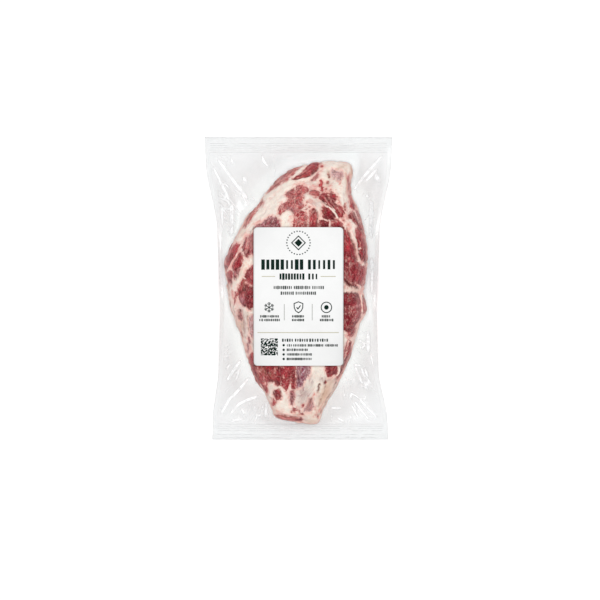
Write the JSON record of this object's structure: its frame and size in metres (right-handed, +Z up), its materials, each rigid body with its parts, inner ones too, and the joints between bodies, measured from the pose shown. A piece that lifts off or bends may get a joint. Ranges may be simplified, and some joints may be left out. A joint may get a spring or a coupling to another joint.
{
  "type": "vacuum packed leg of lamb",
  "caption": "Raw bone-in leg of lamb sealed in a clear vacuum bag with ribbed end seals and a plain paper label on top.",
  "frame": {"origin": "centre of the pack's footprint, on the surface that it lies on", "axes": "+Y along the pack from the shank end to the hip end, +X to the right seen from above, +Z up through the label"},
  "size_m": [0.211, 0.341, 0.0922],
  "materials": {
    "meat_in_film": "deep red raw meat with cream fat seams under glossy clear film",
    "clear_film": "clear glossy vacuum film with creases",
    "label_paper": "smooth matte white paper",
    "label_print": "dark green and grey ink"
  },
  "bodies": {
    "root": {"sealed_bag": "meat_in_film", "label": "label_paper"}
  },
  "joints": []
}
